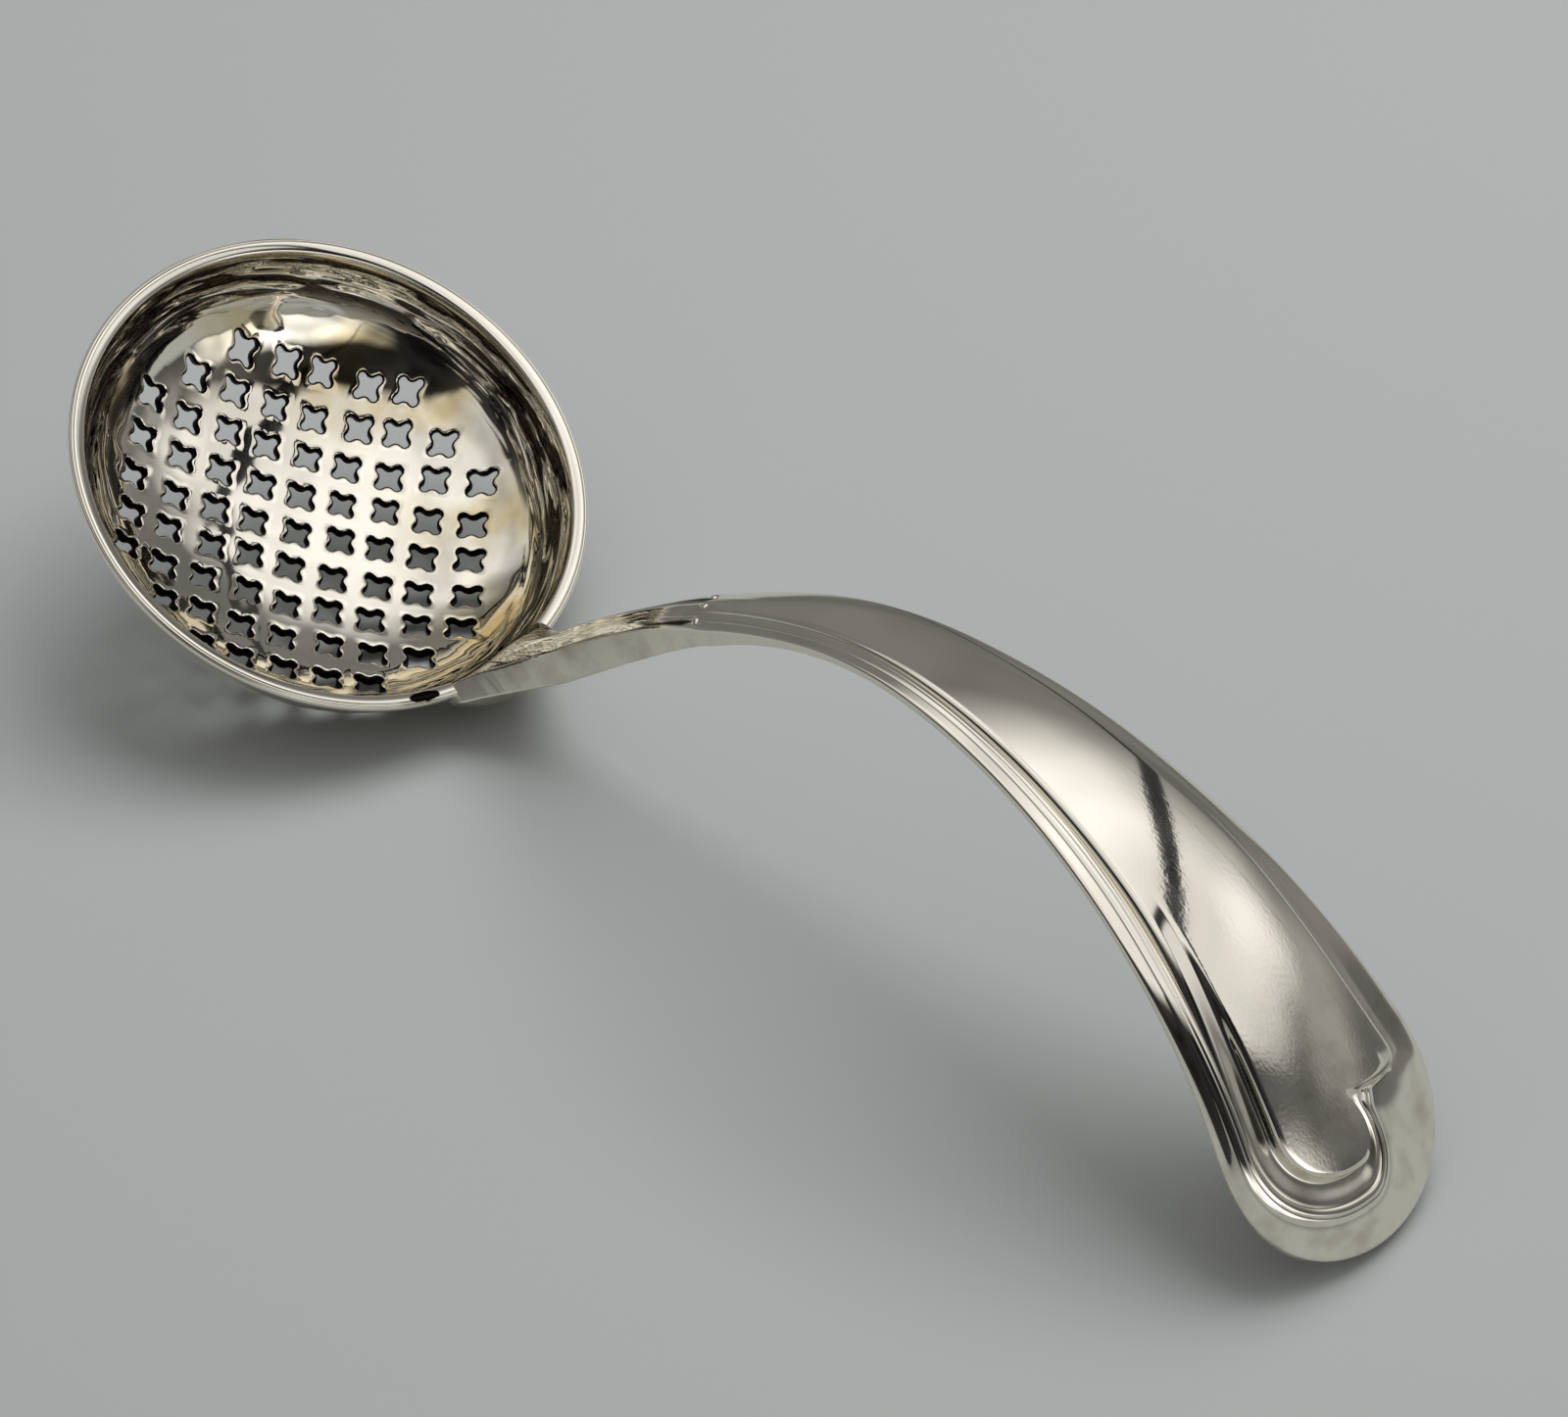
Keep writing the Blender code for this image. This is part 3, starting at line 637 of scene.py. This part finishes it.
# Columns across those lines: up one side from the lap, fanned round the end, and down the other side
LAP_STATIONS = 8
ROOT_STATIONS, STEM_STATIONS, BEAD_STATIONS, REED_STATIONS = 29, 33, 10, 77
ROOT_FROM, ROOT_TO = 0.05 * MM, 12.0 * MM
FAN = 120
bead_from, bead_to = RIDGE_END - BEAD_RADIUS, RIDGE_END + BEAD_RADIUS
stations = list(np.linspace(-LAP_LENGTH, 0.0, LAP_STATIONS))
for start, stop, count in ((ROOT_FROM, ROOT_TO, ROOT_STATIONS), (ROOT_TO, bead_from, STEM_STATIONS),
                           (bead_from, bead_to, BEAD_STATIONS), (bead_to, END_AT, REED_STATIONS)):
    stations += list(np.linspace(start, stop, count, endpoint=False))
columns = [(s, None, 1.0) for s in stations]
columns += [(END_AT, math.pi * k / FAN, 1.0) for k in range(FAN + 1)]
columns += [(s, None, -1.0) for s in reversed(stations)]


def handle_point(column, line):
    """A point of the handle's surface."""
    s, angle, hand = columns[column]
    half = half_width(s)
    share = border_share(s)
    on_face = line < len(face_lines)
    inset, inward = all_lines[line]
    if angle is None:
        flank_share = min(share, (half * FACE_SHARE - REEDED * share) / FLANK)
        narrowed = min(inset, REEDED) * share + max(inset - REEDED, 0.0) * flank_share
        t = (half - narrowed) * (1.0 - inward) * hand
        along = s * (1.0 - LAP_ROUND * (t / half) ** 2) if s < 0.0 else s
    else:
        curl = curl_inset(angle) * ramp(inset, EDGE_ROUND, BAND_WIDTH) if on_face else 0.0
        tip_inset = min(inset, BAND_WIDTH) * TIP_BAND / BAND_WIDTH + max(inset - BAND_WIDTH, 0.0)
        reach = (END_ROUND - tip_inset - curl) * math.sin(angle)
        along = END_AT + reach * (1.0 - inward)
        t = (half_width(END_AT + reach) - inset - curl) * math.cos(angle) * (1.0 - inward)
    scale = min(half / END_HALF, 1.0) ** BORDER_POWER * ramp(s, *REED_START)
    rounding = EDGE_ROUND * share * (1.0 - math.sqrt(1.0 - max(1.0 - inset / EDGE_ROUND, 0.0) ** 2))
    free = 1.0 - hug(s)
    if on_face:
        near = ramp(0.5 - hand / 2 if angle is None else 2 * angle / math.pi, 0.0, 1.0)
        hollowed = near * ramp(s, *HOLLOW_SPAN)
        soft = (1.0 - near) * (1.0 - ramp(s, SOFT_TO, END_AT))
        drop, reed = struck(inset, hollowed, soft)
        reed *= reed_share(angle, hand)
        if angle is not None:
            reed *= 1.0 + KNOP * max(1.0 - abs(angle - KNOP_AT) / KNOP_HALF, 0.0)
        height = REED_HEIGHT * reed * scale ** 0.5 - t ** 2 / (2 * CROWN_RADIUS) - BORDER_DROP * drop * scale
        height = height * free - rounding
        if s > 0.0:
            height += (SHEET + CLEARANCE) * hug(s) + ROOT_RISE * window(s, ROOT_RISE_SPANS)
            height += STEM_TILT * window(s, STEM_TILT_SPANS) * t / half
            height -= STEM_CROWN * window(s, STEM_CROWN_SPANS) * (t / half) ** 2
            height += ridge_height(s, t, half)
        shift = (CUSHION_SHIFT + CUSHION_SQUEEZE * t / half) * ramp(s, SHIFT_FROM, END_AT)
        t -= shift * min(inset / BAND_WIDTH, 1.0)
    else:
        depth = side_depth(s)
        floor = -(half ** 2 / (2 * CROWN_RADIUS) + BORDER_DROP * scale) * free - depth
        hollow = max(-floor - max(BODY_DEPTH, depth), 0.0)
        height = floor + hollow * (1.0 - (1.0 - inward) ** 2) + rounding
        height += depth * SHOULDER_THINNING * hug(s) * (t / half) ** 2
    return bend(along, t, height)


# The surface is a grid of those lines and columns, with marks for what its material shows where
MARKS = ("groove", "side", "face", "cushion")
GROOVE_SPAN = (45.0 * MM, 95.0 * MM)
SIDE_LINES = 2
bpy.ops.object.select_all(action="DESELECT")
last_column, last_line = len(columns) - 1, len(all_lines) - 1
bpy.ops.mesh.primitive_grid_add(x_subdivisions=last_column, y_subdivisions=last_line, size=2.0)
handle = bpy.context.object
handle.name = "struck_handle"
for name in MARKS:
    handle.data.attributes.new(name, "FLOAT", "POINT")
marks = [handle.data.attributes[name].data for name in MARKS]
vertex_at = {}
groove_insets = [BAND_WIDTH + REED_WIDTH * k for k in range(REEDS + 1)]
for vertex, in_groove, on_side, on_face, on_cushion in zip(handle.data.vertices, *marks):
    column = round((vertex.co.x + 1.0) / 2 * last_column)
    line = round((vertex.co.y + 1.0) / 2 * last_line)
    vertex.co = handle_point(column, line)
    vertex_at[column, line] = vertex.index
    on_side.value = float(abs(line - len(face_lines)) < SIDE_LINES)
    on_face.value = float(line < len(face_lines) - len(edge_insets))
    on_cushion.value = float(line < CUSHION_LINES)
    s, angle, hand = columns[column]
    if line < len(face_lines) and s > REED_START[0] and reed_share(angle, hand) > 0.5:
        grooved = any(abs(face_lines[line][0] - inset) < TOUCH for inset in groove_insets)
        in_groove.value = grooved * ramp(s, *GROOVE_SPAN)

# The lap's lower end is closed with a strip of triangles between the rim of the face and that of the back
WELD = 0.0005 * MM
HANDLE_SMOOTH = math.radians(40.0)
forging = bmesh.new()
forging.from_mesh(handle.data)
forging.verts.ensure_lookup_table()
face_rim = [(last_column, line) for line in reversed(range(len(face_lines)))]
face_rim += [(0, line) for line in range(len(face_lines))]
back_rim = [(last_column, line) for line in range(len(face_lines), len(all_lines))]
back_rim += [(0, line) for line in reversed(range(len(face_lines), len(all_lines)))]
face_rim, back_rim = ([forging.verts[vertex_at[place]] for place in rim] for rim in (face_rim, back_rim))
i = j = 0
while i + j < len(face_rim) + len(back_rim) - 2:
    back_done = j + 1 == len(back_rim)
    if back_done or i + 1 < len(face_rim) and face_rim[i + 1].co.y < back_rim[j + 1].co.y:
        forging.faces.new((face_rim[i], back_rim[j], face_rim[i + 1]))
        i += 1
    else:
        forging.faces.new((face_rim[i], back_rim[j], back_rim[j + 1]))
        j += 1
forging.to_mesh(handle.data)
bpy.ops.object.mode_set(mode="EDIT")
bpy.ops.mesh.select_all(action="SELECT")
bpy.ops.mesh.remove_doubles(threshold=WELD)
bpy.ops.mesh.normals_make_consistent(inside=False)
bpy.ops.object.mode_set(mode="OBJECT")
handle.data.transform(Matrix.Translation((RIM_X, 0.0, 0.0)))
bpy.ops.object.shade_smooth_by_angle(angle=HANDLE_SMOOTH)

# Struck and polished sterling: mirror bright, drawn in dark streaks along the stem that are painted into the
# face's colour as dark reflections, with a faint grain on the cushion, tarnish in the grooves of the reeds,
# thin stains at both ends and duller side walls.
GRAIN_SIZE = (0.65 * MM, 0.3 * MM, 0.4 * MM)
GRAIN_HEIGHT = 0.007 * MM
GRAIN_SPAN = (35.0 * MM, 60.0 * MM)
HANDLE_WAVE = 11.0 * MM
HANDLE_WAVE_HEIGHT = 0.12 * MM
HANDLE_BLOOM = 8.0 * MM
STEM_STREAK = (40.0 * MM, 0.55 * MM, 40.0 * MM)
STEM_STREAK_HEIGHT = 0.14 * MM
STEM_SPAN = (3.0 * MM, -5.0 * MM)
STEM_REFLECTION_RANGE = (0.54, 0.6)
STAIN = "#D2CABB"
STAIN_SIZE = 3.0 * MM
STAIN_RANGE = (0.45, 0.75)
STAIN_SPAN = (58.0 * MM, 68.0 * MM)
GROOVE_TARNISH = 0.35
HANDLE_ROUGHNESS = (0.04, 0.1)
SIDE_ROUGHNESS = 0.42
handle_silver = bpy.data.materials.new("polished_sterling_handle")
handle_silver.use_nodes = True
tree = handle_silver.node_tree
shader = tree.nodes["Principled BSDF"]
shader.inputs["Metallic"].default_value = 1.0
grooves, sides, faces, cushions = (add_node(tree, "Attribute", {"attribute_name": name}, {}, "Fac")
                                   for name in MARKS)
spot = add_node(tree, "TexCoord", {}, {}, "Object")
lengthwise = add_node(tree, "SeparateXYZ", {}, {"Vector": spot}, "X")
at_tip = add_node(tree, "MapRange", {1: GRAIN_SPAN[0], 2: GRAIN_SPAN[1]}, {0: lengthwise})
at_stem = add_node(tree, "MapRange", {1: STEM_SPAN[0], 2: STEM_SPAN[1]}, {0: lengthwise})
at_end = add_node(tree, "MapRange", {1: STAIN_SPAN[0], 2: STAIN_SPAN[1]}, {0: lengthwise})
grain_at = add_node(tree, "VectorMath", {"operation": "DIVIDE", 1: GRAIN_SIZE}, {0: spot})
grain = add_node(tree, "TexNoise", {"Scale": 1.0, "Detail": 1.0}, {"Vector": grain_at})
for limit in (at_tip, cushions):
    grain = add_node(tree, "Math", {"operation": "MULTIPLY"}, {0: grain, 1: limit})
grain_bump = add_node(tree, "Bump", {"Distance": GRAIN_HEIGHT}, {"Height": grain})
waves = add_node(tree, "TexNoise", {"Scale": 1.0 / HANDLE_WAVE, "Detail": 1.0}, {"Vector": spot})
wave_bump = add_node(tree, "Bump", {"Distance": HANDLE_WAVE_HEIGHT}, {"Height": waves, "Normal": grain_bump})
stem_at = add_node(tree, "VectorMath", {"operation": "DIVIDE", 1: STEM_STREAK}, {0: spot})
stem_lines = add_node(tree, "TexNoise", {"Scale": 1.0, "Detail": 2.0, "Distortion": 0.1}, {"Vector": stem_at})
stem_line = add_node(tree, "Math", {"operation": "MULTIPLY"}, {0: stem_lines, 1: at_stem})
stem_bump = add_node(tree, "Bump", {"Distance": STEM_STREAK_HEIGHT},
                     {"Height": stem_line, "Normal": wave_bump})
tree.links.new(stem_bump, shader.inputs["Normal"])
stains = add_node(tree, "TexNoise", {"Scale": 1.0 / STAIN_SIZE, "Detail": 3.0}, {"Vector": spot})
stained = add_node(tree, "MapRange", {1: STAIN_RANGE[0], 2: STAIN_RANGE[1]}, {0: stains})
at_ends = add_node(tree, "Math", {"operation": "ADD"}, {0: at_stem, 1: at_end})
stain = add_node(tree, "Math", {"operation": "MULTIPLY"}, {0: stained, 1: at_ends})
tone = add_node(tree, "Mix", {"data_type": "RGBA", 6: linear(STERLING), 7: linear(STAIN)},
                {"Factor": stain}, 2)
# Painted reflection: dark streaks mixed into the face's colour along the stem's streak bumps
streaked = add_node(tree, "MapRange", {1: STEM_REFLECTION_RANGE[0], 2: STEM_REFLECTION_RANGE[1]}, {0: stem_line})
painted_reflection = add_node(tree, "Math", {"operation": "MULTIPLY"}, {0: streaked, 1: faces})
tone = add_node(tree, "Mix", {"data_type": "RGBA", 7: linear(DARK_REFLECTION)}, {"Factor": painted_reflection, 6: tone}, 2)
dark = add_node(tree, "Math", {"operation": "MULTIPLY", 1: GROOVE_TARNISH}, {0: grooves})
tone = add_node(tree, "Mix", {"data_type": "RGBA", 7: linear(TARNISH_AND_SHADE)}, {"Factor": dark, 6: tone}, 2)
tree.links.new(tone, shader.inputs["Base Color"])
bloom = add_node(tree, "TexNoise", {"Scale": 1.0 / HANDLE_BLOOM, "Detail": 4.0}, {"Vector": spot})
cloud = add_node(tree, "MapRange", {1: BLOOM_RANGE[0], 2: BLOOM_RANGE[1], 3: HANDLE_ROUGHNESS[0],
                                    4: HANDLE_ROUGHNESS[1]}, {0: bloom})
finish = add_node(tree, "Mix", {"data_type": "FLOAT", "B": SIDE_ROUGHNESS}, {"Factor": sides, "A": cloud})
tree.links.new(finish, shader.inputs["Roughness"])
handle.data.materials.append(handle_silver)
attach(handle, "root")
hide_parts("handle")

# Table. A plain pale grey sheet of matt board, larger than the picture.
TABLE_SIZE = 4.0
TABLE_Z = -0.02 * MM
BOARD = "#B0B3B2"
BOARD_ROUGHNESS = 0.8
bpy.ops.mesh.primitive_plane_add(size=TABLE_SIZE, location=(0.0, 0.0, TABLE_Z))
table = bpy.context.object
table.name = "table"
board = bpy.data.materials.new("matt_grey_board")
board.use_nodes = True
shader = board.node_tree.nodes["Principled BSDF"]
shader.inputs["Base Color"].default_value = linear(BOARD)
shader.inputs["Roughness"].default_value = BOARD_ROUGHNESS
table.data.materials.append(board)

# Studio light. One wide softbox hangs over the table, in two panels with a gap between them, and the
# walls round it are plain dark grey. Silver shows little else, so the room is drawn in the world. Places
# on the softbox are given as if it hung one unit above the spoon.
ROOM_TURN = math.radians(-41.28)
HORIZON = 0.02
SOFTBOX_LEFT = (-1.5, -1.2)
SOFTBOX_RIGHT = (0.95, 2.7)
SOFTBOX_NEAR = (-1.05, -0.8)
SOFTBOX_SLANT = 0.55
SLANT_END = 0.9
SOFTBOX_FAR = (0.3, 0.9)
SOFTBOX_DIM = {1: -0.9, 2: 0.4, 3: 0.55, 4: 1.0}
SOFTBOX_GAP = ((0.78, 0.80), (0.90, 0.92))
SOFTBOX_LEVEL = 1.05
WALLS = {1: -0.3, 2: 0.3, 3: 0.02, 4: 0.17}
RIGHT_WALL = {1: 0.6, 2: 1.0, 3: 0.0, 4: 0.06}
ROOM_SCALE = 2.2
UNEVEN = {1: 0.35, 2: 0.65, 3: 0.35, 4: 1.8}
PATCHY = {1: 0.35, 2: 0.65, 3: 0.72, 4: 1.08}
CALM = {1: 0.1, 2: 0.5, 4: 0.75}
GAP_SHADE = 0.25
GLOW = 0.9
GLOW_RIGHT, GLOW_NEAR, GLOW_TOP = (-0.1, 0.3), (-0.2, -0.5), (0.40, 0.24)
MATT_SHARE = 0.8
BACKDROP_LEVEL = 0.45
SOFT = {"interpolation_type": "SMOOTHSTEP"}
studio = bpy.data.worlds.new("studio")
bpy.context.scene.world = studio
studio.use_nodes = True
tree = studio.node_tree
way = add_node(tree, "TexCoord", {}, {}, "Generated")
turned = add_node(tree, "Mapping", {"Rotation": (0.0, 0.0, ROOM_TURN)}, {"Vector": way})
x, y, z = (add_node(tree, "SeparateXYZ", {}, {"Vector": turned}, axis) for axis in "XYZ")
height = add_node(tree, "Math", {"operation": "MAXIMUM", 1: HORIZON}, {0: z})
across = add_node(tree, "Math", {"operation": "DIVIDE"}, {0: x, 1: height})
away = add_node(tree, "Math", {"operation": "DIVIDE"}, {0: y, 1: height})
slant = add_node(tree, "Math", {"operation": "MINIMUM", 1: SLANT_END}, {0: across})
slanted = add_node(tree, "Math", {"operation": "MULTIPLY_ADD", 1: -SOFTBOX_SLANT}, {0: slant, 2: away})
room = add_node(tree, "TexNoise", {"Scale": ROOM_SCALE, "Detail": 1.0}, {"Vector": turned})

# The softbox: bright between its four soft edges, apart from the gap, dimmer to the left and a bit patchy
gap_in, gap_out = (add_node(tree, "MapRange", SOFT | {1: start, 2: stop}, {0: across})
                   for start, stop in SOFTBOX_GAP)
gap = add_node(tree, "Math", {"operation": "SUBTRACT"}, {0: gap_in, 1: gap_out})
beside_gap = add_node(tree, "Math", {"operation": "SUBTRACT", 0: 1.0}, {1: gap})
dim = add_node(tree, "MapRange", SOFTBOX_DIM, {0: across})
patchy = add_node(tree, "MapRange", PATCHY, {0: room})
panel = add_node(tree, "MapRange", SOFT | {1: SOFTBOX_LEFT[0], 2: SOFTBOX_LEFT[1]}, {0: across})
near_edge = add_node(tree, "MapRange", SOFT | {1: SOFTBOX_NEAR[0], 2: SOFTBOX_NEAR[1]}, {0: slanted})
right_edge, far_edge = (add_node(tree, "MapRange", SOFT | {1: start, 2: stop, 3: 1.0, 4: 0.0}, {0: place})
                        for place, (start, stop) in ((across, SOFTBOX_RIGHT), (away, SOFTBOX_FAR)))
for limit in (right_edge, near_edge, far_edge, beside_gap, dim, patchy):
    panel = add_node(tree, "Math", {"operation": "MULTIPLY"}, {0: panel, 1: limit})

# The walls: dark on the near side and lighter on the far side, with a low glow on the near right
walls = add_node(tree, "MapRange", WALLS, {0: y})
right_wall = add_node(tree, "MapRange", SOFT | RIGHT_WALL, {0: x})
walls = add_node(tree, "Math", {"operation": "ADD"}, {0: walls, 1: right_wall})
glow_right, glow_near, glow_top = (
    add_node(tree, "MapRange", SOFT | {1: start, 2: stop}, {0: axis})
    for axis, (start, stop) in ((x, GLOW_RIGHT), (y, GLOW_NEAR), (z, GLOW_TOP)))
glow = add_node(tree, "Math", {"operation": "MULTIPLY"}, {0: glow_right, 1: glow_near})
glow = add_node(tree, "Math", {"operation": "MULTIPLY"}, {0: glow, 1: glow_top})
walls = add_node(tree, "Math", {"operation": "MULTIPLY_ADD", 1: GLOW}, {0: glow, 2: walls})
uneven = add_node(tree, "MapRange", UNEVEN, {0: room})
calm = add_node(tree, "MapRange", CALM, {0: y})
uneven = add_node(tree, "Mix", {"data_type": "FLOAT", "B": 1.0}, {"Factor": calm, "A": uneven})
backing = add_node(tree, "MapRange", {3: GAP_SHADE, 4: 1.0}, {0: beside_gap})
for limit in (uneven, backing):
    walls = add_node(tree, "Math", {"operation": "MULTIPLY"}, {0: walls, 1: limit})

# Matt surfaces take a little less of this light, and the camera sees an even backdrop
level = add_node(tree, "Math", {"operation": "MULTIPLY_ADD", 1: SOFTBOX_LEVEL}, {0: panel, 2: walls})
mirrored, direct = (add_node(tree, "LightPath", {}, {}, ray) for ray in ("Is Glossy Ray", "Is Camera Ray"))
taken = add_node(tree, "MapRange", {3: MATT_SHARE, 4: 1.0}, {0: mirrored})
level = add_node(tree, "Math", {"operation": "MULTIPLY"}, {0: level, 1: taken})
seen = add_node(tree, "Mix", {"data_type": "FLOAT", "B": BACKDROP_LEVEL}, {"Factor": direct, "A": level})
tree.links.new(seen, tree.nodes["Background"].inputs["Strength"])
tree.nodes["Background"].inputs["Color"].default_value = linear("#FFFFFF")

# A lamp above fills the table's matt surface up to a plain level, and isn't mirrored in the silver
LAMP_PLACE = Vector((0.0, 0.25, 0.62))
LAMP_SIZE = 0.5
LAMP_ENERGY = 2.85
fill = bpy.data.objects.new("fill_lamp", bpy.data.lights.new("fill_lamp", "AREA"))
bpy.context.collection.objects.link(fill)
fill.location = LAMP_PLACE
fill.rotation_euler = (-LAMP_PLACE).to_track_quat("-Z", "Y").to_euler()
fill.data.size = LAMP_SIZE
fill.data.energy = LAMP_ENERGY
fill.visible_glossy = False
bpy.context.scene.view_settings.view_transform = "Standard"

# Camera, at the photograph's place: a long lens from the near side of the handle's tip
CAMERA_PLACE = Vector((214.94, -238.35, 296.33)) * MM
CAMERA_AIM = Vector((-10.0, 17.91, 0.0)) * MM
CAMERA_SENSOR = 36.0
CAMERA_LENS = 108.3
CAMERA_CLIP = 0.01
camera = bpy.data.objects.new("camera", bpy.data.cameras.new("camera"))
bpy.context.collection.objects.link(camera)
camera.location = CAMERA_PLACE
camera.rotation_euler = (CAMERA_AIM - CAMERA_PLACE).to_track_quat("-Z", "Y").to_euler()
camera.data.sensor_width = CAMERA_SENSOR
camera.data.lens = CAMERA_LENS
camera.data.clip_start = CAMERA_CLIP
bpy.context.scene.camera = camera
